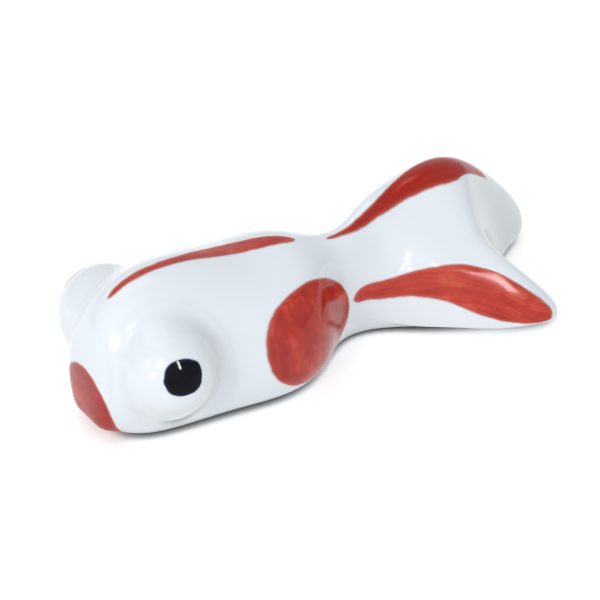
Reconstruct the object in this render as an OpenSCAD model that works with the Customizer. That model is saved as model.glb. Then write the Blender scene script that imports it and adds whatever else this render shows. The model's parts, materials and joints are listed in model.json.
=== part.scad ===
// Chopstick rest: a white porcelain goldfish with telescope eyes, painted with red and black enamel.
// The fish lies on its flat belly with its nose towards -X and its left side towards -Y.
// Its skin is one smooth surface, found by two numbers: the station counts from the nose to the tail's rim,
// and the column counts round the body, from 0 on the right flank over 4 on the back and 8 on the left
// flank to 12 under the belly. Eyes and enamel marks are placed on the skin by the same two numbers.

/* [Trunk] */
// Length from the nose to the waist, where the spine starts to bend
trunk_length = 36; // [30:0.5:44]
// Widest part of the trunk
trunk_width = 20; // [16:0.5:24]
// Height of the head and back
trunk_height = 18.5; // [16:0.5:22]
// Height of the widest line of the flanks over the table
flank_height = 5.1; // [4:0.1:6.5]
// Height of the tip of the nose over the table
nose_height = 6; // [5:0.1:7]

/* [Waist] */
// Width of the waist, where the chopsticks lie
waist_width = 8; // [6.5:0.5:11]
// Height of the waist
waist_height = 13.5; // [11:0.5:15]

/* [Tail] */
// Length from the waist to the middle of the tail's rim
tail_length = 19; // [16:0.5:24]
// Width across both lobes
tail_width = 22; // [18:0.5:26]
// Height of the middle of the tail
tail_height = 15; // [12:0.5:17]
// How far the lobes reach past the rim, beyond the notch
lobe_reach = 6.2; // [4:0.1:8]
// Depth of the valley between the lobes
valley_depth = 1.6; // [0.5:0.1:2.5]
// How much higher the right lobe stands, and how much lower the left one lies
lobe_lift = 4.6; // [2:0.1:5]
// Height of the tail's rounded rim
rim_height = 1.3; // [1:0.1:1.8]
// Radius of the spine's bend to the left, from the waist on
bend_radius = 56; // [45:1:120]

/* [Eyes] */
// Diameter of each eyeball
eye_diameter = 10.7; // [9.5:0.1:11.5]
// Distance between the middles of the eyeballs
eye_spacing = 12.6; // [12:0.1:13.6]
// Distance from the nose back to the middle of the eyes
eye_setback = 7.1; // [6.6:0.1:8]
// Height of the middle of the eyes over the table
eye_height = 9.8; // [9.2:0.1:10.4]
// Diameter of each painted pupil
pupil_diameter = 4.3; // [2.5:0.1:5.5]
// Turn of each pupil from straight sideways to the front, in degrees
pupil_forward = 13; // [5:1:30]
// Turn of each pupil upwards, in degrees
pupil_upward = 25; // [5:1:35]

/* [Enamel] */
// Thickness of the enamel layers
enamel_thickness = 0.2; // [0.1:0.05:0.3]
// Clearance between an enamel layer, or an eye, and the skin under it
enamel_gap = 0.06; // [0.05:0.01:0.1]
// Width of the red mark round the mouth
mouth_width = 9; // [6:0.5:11]
// Height of the red mark round the mouth
mouth_mark_height = 8; // [5:0.1:9]
// Width of the stripe along the back
dorsal_width = 2.7; // [1:0.1:4]
// Length of the spot on each flank
spot_length = 17.5; // [10:0.5:19]
// Height of the spot on each flank
spot_height = 13.5; // [8:0.5:15]
// Width of the stripe on each lobe of the tail
tail_stripe_width = 6; // [3:0.1:7]

/* [Hidden] */

porcelain = "whitesmoke";
red_enamel = "firebrick";
black_enamel = "black";

// Counts: columns of the cage round the body, and facets along one station and one column of the skin
columns = 16;
half_turn = columns / 2;
facets = 4;

// The trunk's stations after the nose, as shares: place along trunk_length, half width of trunk_width / 2,
// crown of trunk_height, widest line of flank_height, belly of flank_height
trunk_shares = [
    [0.003, 0.34, 0.57, 1.18, 0.28],
    [0.04, 0.52, 0.81, 1.15, 0.31],
    [0.14, 0.69, 0.985, 1.01, 0],
    [0.285, 0.795, 1.01, 1, 0],
    [0.44, 0.875, 0.95, 1, 0],
    [0.595, 1.04, 0.85, 1, 0],
    [0.75, 0.885, 0.87, 1, 0]
];

// The waist's stations: place along trunk_length, half width of waist_width / 2, crown of waist_height,
// widest line and belly of flank_height
waist_shares = [
    [0.88, 0.98, 0.975, 0.96, 0],
    [0.98, 0.82, 0.995, 0.98, 0]
];

// The tail's stations: place along tail_length, half width of tail_width / 2, crown of tail_height, widest
// line and belly of flank_height, then shares of lobe_reach, valley_depth and lobe_lift
tail_shares = [
    [0.16, 0.475, 0.9, 0.85, 0, 0, 0.3, 0.81],
    [0.36, 0.76, 0.955, 0.89, 0, 0.16, 0.87, 0.67],
    [0.6, 0.94, 1.005, 0.96, 0, 0.5, 1.35, 1],
    [0.82, 0.99, 0.85, 0.71, 0, 0.62, 0.28, 0.65],
    [0.945, 0.97, 0.33, 0.48, 0.06, 1.12, 0.4, 0.27]
];
rim_width_share = 0.905;

// Shares of a station's reach, valley and lift at each column, from the right flank over the back to the
// left flank; the underside takes the reach of the column above it
reach_shares = [0.8, 0.79, 0.84, 0.33, 0.08, 0, 0.93, 0.82, 0.74];
valley_shares = [0, 0, 0.08, 0.48, 1, 0.86, 0.08, 0, 0];
lift_shares = [0, 0.95, 0.56, 0.72, 0, -0.6, -0.88, -0.8, -1];
// How much faster than a circle the underside flattens
belly_flat_share = 1.5;

nose = [0, 0, nose_height, nose_height, nose_height, 0, 0, 0];
rim = [
    trunk_length + tail_length, rim_width_share * tail_width / 2,
    rim_height, rim_height, rim_height, lobe_reach, 0, 0
];
// Every station: place, half width, crown, widest line, belly, reach, valley, lift
stations = concat(
    [nose],
    [for (t = trunk_shares)
        [t[0] * trunk_length, t[1] * trunk_width / 2, t[2] * trunk_height,
            t[3] * flank_height, t[4] * flank_height, 0, 0, 0]],
    [for (t = waist_shares)
        [t[0] * trunk_length, t[1] * waist_width / 2, t[2] * waist_height,
            t[3] * flank_height, t[4] * flank_height, 0, 0, 0]],
    [for (t = tail_shares)
        [trunk_length + t[0] * tail_length, t[1] * tail_width / 2, t[2] * tail_height,
            t[3] * flank_height, t[4] * flank_height,
            t[5] * lobe_reach, t[6] * valley_depth, t[7] * lobe_lift]],
    [rim]
);
spans = len(stations) - 1;

// A spline through a ring of points runs inside them by this much, so the ring is made larger
ring_gain = 6 / (4 + 2 * cos(360 / columns));

function column_angle(j) = 360 * j / columns;
function side_share(j) = ring_gain * cos(column_angle(j));
function rise_share(j) =
    let (s = sin(column_angle(j)))
    s < 0 ? -min(1, -belly_flat_share * s) : ring_gain * s;
// The column of the upper side that lies over a column of the underside
function upper_column(j) = min(j, columns - j);

// One point of the cage, before the spine is bent
function cage_point(s, j) =
    let (
        rise = rise_share(j),
        k = upper_column(j),
        over = (s[2] - s[3]) * rise - s[6] * valley_shares[k],
        under = (s[3] - s[4]) * rise,
        lift = j > half_turn ? 0 : s[7] * lift_shares[j]
    )
    [s[0] + s[5] * reach_shares[k], s[1] * side_share(j), s[3] + lift + (rise > 0 ? over : under)];

function cage_row(i) = [for (j = [0:columns - 1]) cage_point(stations[i], j)];

// The extra rows before the nose and past the rim close the skin smoothly there
before_nose = [for (j = [0:columns - 1]) cage_point(stations[1], (j + half_turn) % columns)];
past_rim = [for (j = [0:columns - 1]) cage_point(stations[spans - 1], (columns - j) % columns)];
cage = concat([before_nose], [for (i = [0:spans]) cage_row(i)], [past_rim]);

// Weights of the cubic spline at share t of a span
function weights(t) =
    [pow(1 - t, 3), 3 * pow(t, 3) - 6 * t * t + 4, -3 * pow(t, 3) + 3 * t * t + 3 * t + 1, pow(t, 3)] / 6;

function across(i, v) =
    let (j = floor(v))
    weights(v - j) * [for (k = [0:3]) cage[i][(j + k + columns - 1) % columns]];

function straight_skin(u, v) =
    let (i = min(floor(u), spans - 1))
    weights(u - i) * [for (k = [0:3]) across(i + k, v)];

// Bends the spine to the left past the waist
function bent(p) =
    p.x <= trunk_length ? p :
    let (
        turn = (p.x - trunk_length) / bend_radius * 180 / PI,
        r = bend_radius + p.y
    )
    [trunk_length + r * sin(turn), r * cos(turn) - bend_radius, p.z];

function bent_skin(u, v) = bent(straight_skin(u, v));

// The whole fish is moved so that the middle of its box lies over the origin
eye_radius = eye_diameter / 2;
eye_side = eye_spacing / 2;
coarse_skin = [for (k = [0:spans * facets], m = [0:columns * facets - 1]) bent_skin(k / facets, m / facets)];
skin_x = [for (p = coarse_skin) p.x];
skin_y = [for (p = coarse_skin) p.y];
middle = [
    (min(skin_x) + max(skin_x)) / 2,
    (min(min(skin_y), -eye_side - eye_radius) + max(max(skin_y), eye_side + eye_radius)) / 2,
    0
];

function skin(u, v) = bent_skin(u, v) - middle;

// Outward direction of the skin, from two short steps each way
step_share = 0.02;
function unit(a) = a / norm(a);
function outward(u, v) =
    u < step_share ? [-1, 0, 0] :
    unit(cross(
        skin(u, v + step_share) - skin(u, v - step_share + columns),
        skin(min(u + step_share, spans), v) - skin(u - step_share, v)
    ));
function over_skin(u, v, d) = skin(u, v) + d * outward(u, v);

// Millimetres that the skin runs in one station, and in one column
function station_size(u, v) = norm(skin(u + step_share, v) - skin(u - step_share, v)) / (2 * step_share);
function column_size(u, v) = norm(skin(u, v + step_share) - skin(u, v - step_share)) / (2 * step_share);

function joined(lists) = [for (a = lists) for (b = a) b];

// Smooth value of a table of shares at place t, from 0 at its first entry to 1 at its last
function table_at(shares, t) =
    let (
        n = len(shares) - 1,
        x = min(max(t, 0), 1) * n,
        i = min(floor(x), n - 1),
        f = x - i,
        a = shares[max(i - 1, 0)],
        b = shares[i],
        c = shares[i + 1],
        d = shares[min(i + 2, n)]
    )
    b + f * ((c - a) / 2 + f * ((2 * a - 5 * b + 4 * c - d) / 2 + f * (3 * b - a - 3 * c + d) / 2));

// Body

around = columns * facets;
last_ring = spans * facets;

// Number of a point: the nose, then ring after ring, then the rim, where upper and lower side share points
function rim_fold(m) = min(m, around - m);
function body_index(k, m) =
    1 + (k - 1) * around + (k < last_ring ? m % around : rim_fold(m % around));

body_points = concat(
    [skin(0, 0)],
    joined([for (k = [1:last_ring - 1]) [for (m = [0:around - 1]) skin(k / facets, m / facets)]]),
    [for (m = [0:around / 2]) skin(spans, m / facets)]
);

body_faces = concat(
    [for (m = [0:around - 1]) [0, body_index(1, m), body_index(1, m + 1)]],
    joined([for (k = [1:last_ring - 1], m = [0:around - 1])
        let (
            a = body_index(k, m),
            b = body_index(k, m + 1),
            c = body_index(k + 1, m + 1),
            d = body_index(k + 1, m)
        )
        [[a, c, b], [a, d, c]]])
);

module body() {
    color(porcelain)
    polyhedron(points = body_points, faces = body_faces, convexity = 6);
}

// Round patches, made of rings about a middle point, each ring with an upper and a lower point

// Number of an upper or lower point of a round patch with n sectors
function round_index(k, m, n) = k == 0 ? 0 : 1 + (k - 1) * n + m % n;

module round_patch(upper, lower, rings, n) {
    count = len(upper);
    rim_wall = [for (m = [0:n - 1])
        let (
            a = round_index(rings, m, n),
            b = round_index(rings, m + 1, n)
        )
        [[a, b, b + count], [a, b + count, a + count]]];
    fans = [for (m = [0:n - 1])
        let (
            b = round_index(1, m, n),
            c = round_index(1, m + 1, n)
        )
        [[0, c, b], [count, count + b, count + c]]];
    bands = [for (k = [1:rings - 1], m = [0:n - 1])
        let (
            a = round_index(k, m, n),
            b = round_index(k, m + 1, n),
            c = round_index(k + 1, m + 1, n),
            d = round_index(k + 1, m, n)
        )
        [[a, b, c], [a, c, d], [count + a, count + c, count + b], [count + a, count + d, count + c]]];
    polyhedron(
        points = concat(upper, lower),
        faces = joined(concat(fans, bands, rim_wall)),
        convexity = 4
    );
}

// Height of a layer's upper face over the skin, at share rho of the way from its middle to its edge
edge_share = 0.5;
function layer_top(rho) = enamel_gap + enamel_thickness * (1 - (1 - edge_share) * pow(rho, 4));

// Eyes

eye_rings = 10;
eye_sectors = 36;
// Where an eye sits: its station and its column on the left; on the right the column is mirrored
eye_station_share = 0.225;
eye_column_share = 0.445;
// Reach of the search for the eye's edge, as shares of the stations and of the columns
search_station_share = 0.15;
search_column_share = 0.13;
halvings = 14;

function eye_middle(side) = [eye_setback, side * eye_side, eye_height] - middle;
function eye_u(t, angle) = spans * (eye_station_share + t * search_station_share * cos(angle));
function eye_v(t, angle, side) =
    let (v = columns * (eye_column_share + t * search_column_share * sin(angle)))
    side < 0 ? v : half_turn + columns - v;
function eye_seat(t, angle, side) = over_skin(eye_u(t, angle), eye_v(t, angle, side) % columns, enamel_gap);

// Share of the search at which the skin meets the eyeball, by halving the interval
function eye_edge(angle, side, low, high, n) =
    n == 0 ? (low + high) / 2 :
    let (
        t = (low + high) / 2,
        inside = norm(eye_seat(t, angle, side) - eye_middle(side)) < eye_radius
    )
    eye_edge(angle, side, inside ? t : low, inside ? high : t, n - 1);

// Point of the eyeball on the arc from its outer pole to a point of its edge
function ball_point(side, pole, edge, share) =
    let (
        toward = unit(edge - eye_middle(side)),
        span = acos(pole * toward)
    )
    eye_middle(side)
        + eye_radius * (sin((1 - share) * span) * pole + sin(share * span) * toward) / sin(span);

module eyeball(side) {
    angles = [for (m = [0:eye_sectors - 1]) side * 360 * m / eye_sectors];
    edges = [for (a = angles) eye_edge(a, side, 0, 1, halvings)];
    rim_points = [for (m = [0:eye_sectors - 1]) eye_seat(edges[m], angles[m], side)];
    pole = outward(eye_u(0, 0), eye_v(0, 0, side));
    dome = concat(
        [eye_middle(side) + eye_radius * pole],
        joined([for (k = [1:eye_rings]) [for (m = [0:eye_sectors - 1])
            ball_point(side, pole, rim_points[m], k / eye_rings)]])
    );
    seat = concat(
        [eye_seat(0, 0, side)],
        joined([for (k = [1:eye_rings - 1]) [for (m = [0:eye_sectors - 1])
            eye_seat(edges[m] * k / eye_rings, angles[m], side)]])
    );
    eye_solid(dome, seat);
}

// Closes a dome over a seat that ends one ring short, so that both share the dome's last ring
module eye_solid(dome, seat) {
    n = eye_sectors;
    count = len(dome);
    upper = [for (k = [1:eye_rings - 1], m = [0:n - 1])
        let (
            a = round_index(k, m, n),
            b = round_index(k, m + 1, n),
            c = round_index(k + 1, m + 1, n),
            d = round_index(k + 1, m, n)
        )
        [[a, b, c], [a, c, d]]];
    lower = [for (k = [1:eye_rings - 1], m = [0:n - 1])
        let (
            a = count + round_index(k, m, n),
            b = count + round_index(k, m + 1, n),
            shared = k == eye_rings - 1,
            c = (shared ? 0 : count) + round_index(k + 1, m + 1, n),
            d = (shared ? 0 : count) + round_index(k + 1, m, n)
        )
        [[a, c, b], [a, d, c]]];
    fans = [for (m = [0:n - 1])
        let (
            b = round_index(1, m, n),
            c = round_index(1, m + 1, n)
        )
        [[0, c, b], [count, count + b, count + c]]];
    polyhedron(points = concat(dome, seat), faces = joined(concat(fans, upper, lower)), convexity = 4);
}

module left_eye() {
    color(porcelain)
    eyeball(-1);
}

module right_eye() {
    color(porcelain)
    eyeball(1);
}

// Pupils: thin caps of enamel that follow the eyeball

pupil_facets = 48;
module pupil(side) {
    inner = eye_radius + enamel_gap;
    outer = inner + enamel_thickness;
    reach = asin(pupil_diameter / 2 / outer);
    outer_arc = [for (i = [0:pupil_facets / 4]) let (a = 4 * i / pupil_facets * reach)
        outer * [sin(a), cos(a)]];
    inner_arc = [for (i = [pupil_facets / 4:-1:0]) let (a = 4 * i / pupil_facets * reach)
        inner * [sin(a), cos(a)]];
    translate(eye_middle(side))
    rotate([0, 0, side * pupil_forward])
    rotate([-side * (90 - pupil_upward), 0, 0])
    rotate_extrude($fn = pupil_facets)
    polygon(concat(outer_arc, inner_arc));
}

module left_pupil() {
    color(black_enamel)
    pupil(-1);
}

module right_pupil() {
    color(black_enamel)
    pupil(1);
}

// Mouth: a patch about the nose

mouth_rings = 6;
mouth_sectors = 48;
// Stations behind the nose within which the mark's edge is searched
mouth_search = 3;
// The mark's middle lies below the nose by this share of its height
mouth_drop_share = 0.1;

// Reach of the mark from the nose, in stations, found by halving: inside an upright oval seen from the front
function mouth_inside(u, v) =
    let (
        p = skin(u, v) + middle,
        y = p.y / (mouth_width / 2),
        z = (p.z - nose_height + mouth_drop_share * mouth_mark_height) / (mouth_mark_height / 2)
    )
    y * y + z * z < 1;
function mouth_edge(v, low, high, n) =
    n == 0 ? (low + high) / 2 :
    let (u = (low + high) / 2, inside = mouth_inside(u, v))
    mouth_edge(v, inside ? u : low, inside ? high : u, n - 1);

module mouth_patch() {
    places = [for (m = [0:mouth_sectors - 1]) columns * m / mouth_sectors];
    edges = [for (v = places) mouth_edge(v, 0, mouth_search, halvings)];
    upper = concat(
        [over_skin(0, 0, layer_top(0))],
        joined([for (k = [1:mouth_rings]) let (t = k / mouth_rings) [for (m = [0:mouth_sectors - 1])
            over_skin(t * edges[m], places[m], layer_top(t))]])
    );
    lower = concat(
        [over_skin(0, 0, enamel_gap)],
        joined([for (k = [1:mouth_rings]) let (t = k / mouth_rings) [for (m = [0:mouth_sectors - 1])
            over_skin(t * edges[m], places[m], enamel_gap)]])
    );
    color(red_enamel)
    mirrored_patch(upper, lower, mouth_rings, mouth_sectors);
}

// A round patch whose sectors run the other way round
module mirrored_patch(upper, lower, rings, n) {
    function turned(list) = concat(
        [list[0]],
        joined([for (k = [0:rings - 1]) [for (m = [0:n - 1]) list[1 + k * n + (n - m) % n]]])
    );
    round_patch(turned(upper), turned(lower), rings, n);
}

// Flank spots: leaning ovals on the rear of each flank

spot_rings = 7;
spot_sectors = 40;
spot_station_share = 0.46;
spot_column_share = 0.468;
// Lean of the oval, in degrees: below 0 its lower end is nearer to the tail
spot_lean = -8;

function spot_u(rho, angle) =
    let (size = station_size(spans * spot_station_share, columns * spot_column_share))
    spans * spot_station_share + rho * spot_length / 2 / size * cos(angle + spot_lean);
function spot_v(rho, angle) =
    let (size = column_size(spans * spot_station_share, columns * spot_column_share))
    columns * spot_column_share + rho * spot_height / 2 / size * sin(angle);

function spot_points(side, lift_inner) = concat(
    [let (v = spot_v(0, 0)) over_skin(spot_u(0, 0), side < 0 ? v : (half_turn + columns - v) % columns,
        lift_inner ? enamel_gap : layer_top(0))],
    joined([for (k = [1:spot_rings]) let (t = k / spot_rings) [for (m = [0:spot_sectors - 1])
        let (
            angle = side * 360 * m / spot_sectors,
            v = spot_v(t, angle)
        )
        over_skin(spot_u(t, angle), side < 0 ? v : (half_turn + columns - v) % columns,
            lift_inner ? enamel_gap : layer_top(t))]])
);

module flank_spot(side) {
    color(red_enamel)
    round_patch(spot_points(side, false), spot_points(side, true), spot_rings, spot_sectors);
}

module left_flank_spot() {
    flank_spot(-1);
}

module right_flank_spot() {
    flank_spot(1);
}

// Stripes: strips of enamel that run along the skin from one station to another

stripe_facets = 32;
stripe_lanes = 6;

// Point of a stripe at share t of its length and share s of its width, from -1 to 1
function stripe_point(from, to, lane_shares, fullness_shares, width, t, s, inner) =
    let (
        u = spans * (from + (to - from) * t),
        middle_v = columns * table_at(lane_shares, t),
        half = width / 2 * table_at(fullness_shares, t) / column_size(u, middle_v)
    )
    over_skin(u, middle_v + s * half, inner ? enamel_gap : layer_top(s));

// One strip; the shares give the column of its middle line and its fullness along its length
module stripe(from, to, lane_shares, fullness_shares, width) {
    n = stripe_lanes + 1;
    rows = stripe_facets + 1;
    count = n * rows;
    points = joined([for (inner = [false, true]) joined([for (i = [0:stripe_facets]) [for (j = [0:stripe_lanes])
        stripe_point(from, to, lane_shares, fullness_shares, width,
            i / stripe_facets, 2 * j / stripe_lanes - 1, inner)]])]);
    sheets = [for (i = [0:stripe_facets - 1], j = [0:stripe_lanes - 1])
        let (
            a = i * n + j,
            b = a + 1,
            c = a + n + 1,
            d = a + n
        )
        [[a, c, b], [a, d, c], [count + a, count + b, count + c], [count + a, count + c, count + d]]];
    ends = [for (j = [0:stripe_lanes - 1])
        let (
            a = j,
            b = j + 1,
            c = (rows - 1) * n + j,
            d = c + 1
        )
        [[a, b, count + b], [a, count + b, count + a], [c, count + d, d], [c, count + c, count + d]]];
    sides = [for (i = [0:stripe_facets - 1])
        let (
            a = i * n,
            b = a + n,
            c = i * n + stripe_lanes,
            d = c + n
        )
        [[a, count + b, b], [a, count + a, count + b], [c, d, count + d], [c, count + d, count + c]]];
    polyhedron(points = points, faces = joined(concat(sheets, ends, sides)), convexity = 4);
}

dorsal_from_share = 0.168;
dorsal_to_share = 0.478;
dorsal_lane_shares = [0.249, 0.247, 0.246, 0.243, 0.239, 0.236, 0.243, 0.26];
dorsal_fullness_shares = [0.12, 0.32, 0.38, 0.48, 0.76, 0.92, 0.76, 0.2];

module dorsal_stripe() {
    color(red_enamel)
    stripe(dorsal_from_share, dorsal_to_share, dorsal_lane_shares, dorsal_fullness_shares, dorsal_width);
}

left_stripe_from_share = 0.568;
left_stripe_to_share = 0.948;
left_lane_shares = [0.473, 0.443, 0.409, 0.406, 0.417, 0.438, 0.46, 0.466];
left_fullness_shares = [0.13, 0.34, 0.41, 0.64, 0.96, 0.94, 0.6, 0.12];

module left_tail_stripe() {
    color(red_enamel)
    stripe(left_stripe_from_share, left_stripe_to_share, left_lane_shares, left_fullness_shares,
        tail_stripe_width);
}

right_stripe_from_share = 0.545;
right_stripe_to_share = 0.898;
right_lane_shares = [0.265, 0.26, 0.241, 0.224, 0.206, 0.192, 0.183, 0.15];
right_fullness_shares = [0.08, 0.12, 0.22, 0.32, 0.49, 0.71, 0.6, 0.1];

module right_tail_stripe() {
    color(red_enamel)
    stripe(right_stripe_from_share, right_stripe_to_share, right_lane_shares, right_fullness_shares,
        tail_stripe_width);
}

body();
left_eye();
right_eye();
left_pupil();
right_pupil();
mouth_patch();
dorsal_stripe();
left_flank_spot();
right_flank_spot();
left_tail_stripe();
right_tail_stripe();
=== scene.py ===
"""Looks of a goldfish chopstick rest: glazed white porcelain, brushed iron red and black pupils."""
import json
import math

import bmesh
import bpy
import numpy as np
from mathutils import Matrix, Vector

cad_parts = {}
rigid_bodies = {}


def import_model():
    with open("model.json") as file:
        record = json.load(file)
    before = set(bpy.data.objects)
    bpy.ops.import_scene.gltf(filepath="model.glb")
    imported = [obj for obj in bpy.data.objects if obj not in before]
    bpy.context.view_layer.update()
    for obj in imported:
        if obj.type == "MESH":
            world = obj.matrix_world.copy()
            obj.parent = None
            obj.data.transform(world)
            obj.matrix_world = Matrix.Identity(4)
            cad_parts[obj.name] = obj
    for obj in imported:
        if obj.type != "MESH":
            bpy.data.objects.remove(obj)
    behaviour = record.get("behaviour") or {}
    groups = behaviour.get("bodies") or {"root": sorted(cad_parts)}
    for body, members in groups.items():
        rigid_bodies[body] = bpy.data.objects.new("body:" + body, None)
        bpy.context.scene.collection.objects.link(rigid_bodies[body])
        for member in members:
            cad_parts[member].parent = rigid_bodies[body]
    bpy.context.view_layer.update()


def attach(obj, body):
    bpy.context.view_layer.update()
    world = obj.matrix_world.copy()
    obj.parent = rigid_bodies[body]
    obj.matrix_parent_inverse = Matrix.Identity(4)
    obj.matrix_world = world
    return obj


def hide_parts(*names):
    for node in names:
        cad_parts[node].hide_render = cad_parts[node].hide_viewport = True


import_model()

bl_info = {
    "name": "Goldfish chopstick rest",
    "version": (1, 0, 0),
    "blender": (4, 5, 0),
    "location": "View3D > Sidebar > Goldfish",
    "description": "Builds the glazed and painted pieces of a goldfish chopstick rest",
    "category": "Add Mesh",
}

MM = 0.001
LEFT = -1
RIGHT = 1
SIDES = ((LEFT, "left"), (RIGHT, "right"))

# Columns of the cage round the body: 0 on the right flank, 4 on the back, 8 on the left flank, 12 below
COLUMNS = 16
HALF_TURN = COLUMNS // 2
# How much faster than a circle the underside flattens
BELLY_FLAT_SHARE = 1.5

# Stations of the trunk after the nose, as shares: place along it, half width, crown, widest line, belly
TRUNK_SHARES = (
    (0.003, 0.34, 0.57, 1.18, 0.28),
    (0.04, 0.52, 0.81, 1.15, 0.31),
    (0.14, 0.69, 0.985, 1.01, 0.0),
    (0.285, 0.795, 1.01, 1.0, 0.0),
    (0.44, 0.875, 0.95, 1.0, 0.0),
    (0.595, 1.04, 0.85, 1.0, 0.0),
    (0.75, 0.885, 0.87, 1.0, 0.0),
)
WAIST_SHARES = (
    (0.88, 0.98, 0.975, 0.96, 0.0),
    (0.98, 0.82, 0.995, 0.98, 0.0),
)
# The tail's stations hold the lobes' reach, the valley's depth and the lobes' lift as well
TAIL_SHARES = (
    (0.16, 0.475, 0.9, 0.85, 0.0, 0.0, 0.3, 0.81),
    (0.36, 0.76, 0.955, 0.89, 0.0, 0.16, 0.87, 0.67),
    (0.6, 0.94, 1.005, 0.96, 0.0, 0.5, 1.35, 1.0),
    (0.82, 0.99, 0.85, 0.71, 0.0, 0.62, 0.28, 0.65),
    (0.945, 0.97, 0.33, 0.48, 0.06, 1.12, 0.4, 0.27),
)
RIM_WIDTH_SHARE = 0.905
# Reach, valley and lift at each column, from the right flank over the back to the left flank; the underside
# takes the reach of the column above it
REACH_SHARES = (0.8, 0.79, 0.84, 0.33, 0.08, 0.0, 0.93, 0.82, 0.74)
VALLEY_SHARES = (0.0, 0.0, 0.08, 0.48, 1.0, 0.86, 0.08, 0.0, 0.0)
LIFT_SHARES = (0.0, 0.95, 0.56, 0.72, 0.0, -0.6, -0.88, -0.8, -1.0)

# Stripes: first and last station, then the middle line's column and the fullness along the stripe
DORSAL_STRIPE = {
    "ends": (0.173, 0.478),
    "lane": (0.249, 0.247, 0.246, 0.243, 0.239, 0.236, 0.243, 0.26),
    "fullness": (0.22, 0.34, 0.38, 0.48, 0.76, 0.92, 0.8, 0.4),
}
LEFT_STRIPE = {
    "ends": (0.572, 0.946),
    "lane": (0.473, 0.443, 0.409, 0.406, 0.417, 0.438, 0.46, 0.466),
    "fullness": (0.28, 0.36, 0.42, 0.64, 0.96, 0.95, 0.6, 0.12),
}
RIGHT_STRIPE = {
    "ends": (0.545, 0.884),
    "lane": (0.265, 0.26, 0.241, 0.224, 0.206, 0.192, 0.183, 0.15),
    "fullness": (0.08, 0.12, 0.22, 0.32, 0.5, 0.74, 0.74, 0.3),
}
# Shares of a stripe's length: in which each end is rounded, and by which its faded strip runs past it
ROUNDED_SHARE = 0.06
OVERRUN_SHARE = 0.02
# Faces along a stripe and across it
STRIPE_ROWS = 96
STRIPE_LANES = 24

# A painted sheet's edge: millimetres in which it rises, and how deep it starts as a share of its rise
EDGE_SLOPE = 0.15
SUNK_SHARE = 0.6

# Halvings after which a searched place is found to a billionth of its range
HALVINGS = 30
# Corners nearer to each other than this many metres become one
WELD_DISTANCE = 1e-7

# Heights in the glaze's surface, in metres: its soft waves, and the fine grain on them
WAVE_HEIGHT = 0.00001
GRAIN_HEIGHT = 0.0000008
# Metres over the floor: under the first the clay is bare, over the second it is glazed, and the line
# between them wanders by the third
FOOT_BARE = 0.0001
FOOT_GLAZED = 0.0002
FOOT_WANDER = 0.00022
# Brushes of iron red: streaks along and across the mark, and how much deeper its coat is than a plain one
BRUSHES = {
    "mouth": ((1.2, 5.0), 0.06),
    "spot": ((4.5, 1.6), 0.0),
    "dorsal": ((5.0, 2.4), 0.0),
    "left_tail": ((3.2, 4.2), -0.08),
    "right_tail": ((3.2, 4.2), 0.14),
}


def length(name, default, description):
    """A size of the object, in metres."""
    return bpy.props.FloatProperty(
        name=name, description=description, default=default, min=0.0, precision=5, unit="LENGTH")


def colour(name, default, description):
    """A finish's colour, as linear red, green and blue."""
    return bpy.props.FloatVectorProperty(
        name=name, description=description, default=default, min=0.0, max=1.0, size=3, subtype="COLOR")


def position(name, default, description):
    """A place in the scene, in metres."""
    return bpy.props.FloatVectorProperty(
        name=name, description=description, default=default, size=3, precision=5, subtype="XYZ",
        unit="LENGTH")


def amount(name, default, description):
    """A number without a unit."""
    return bpy.props.FloatProperty(
        name=name, description=description, default=default, min=0.0, precision=4)


def turn(name, default, description):
    """An angle, given here in degrees and kept in radians."""
    return bpy.props.FloatProperty(
        name=name, description=description, default=math.radians(default), subtype="ANGLE",
        unit="ROTATION")


class FishSizes(bpy.types.PropertyGroup):
    """Sizes of the porcelain fish, as in its CAD model"""

    trunk_length: length("Trunk length", 0.036, "From the nose to the waist")
    trunk_width: length("Trunk width", 0.020, "Widest part of the trunk")
    trunk_height: length("Trunk height", 0.0185, "Height of the head and back")
    flank_height: length("Flank height", 0.0051, "Height of the flanks' widest line")
    nose_height: length("Nose height", 0.006, "Height of the tip of the nose")
    waist_width: length("Waist width", 0.008, "Width where the chopsticks lie")
    waist_height: length("Waist height", 0.0135, "Height where the chopsticks lie")
    tail_length: length("Tail length", 0.019, "From the waist to the middle of the rim")
    tail_width: length("Tail width", 0.022, "Across both lobes")
    tail_height: length("Tail height", 0.015, "Height of the middle of the tail")
    lobe_reach: length("Lobe reach", 0.0062, "How far the lobes reach past the rim")
    valley_depth: length("Valley depth", 0.0016, "Depth of the valley between the lobes")
    lobe_lift: length("Lobe lift", 0.0046, "How much higher the right lobe stands")
    rim_height: length("Rim height", 0.0013, "Height of the tail's rounded rim")
    bend_radius: length("Bend radius", 0.056, "Radius of the spine's bend, from the waist on")
    eye_diameter: length("Eye diameter", 0.0107, "Diameter of each eyeball")
    eye_spacing: length("Eye spacing", 0.0126, "Between the middles of the eyeballs")
    eye_setback: length("Eye setback", 0.0071, "From the nose back to the eyes")
    eye_height: length("Eye height", 0.0098, "Height of the middle of the eyes")
    eye_fillet: length("Eye fillet", 0.0028, "Reach of the soft hollow round each eye")


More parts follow.
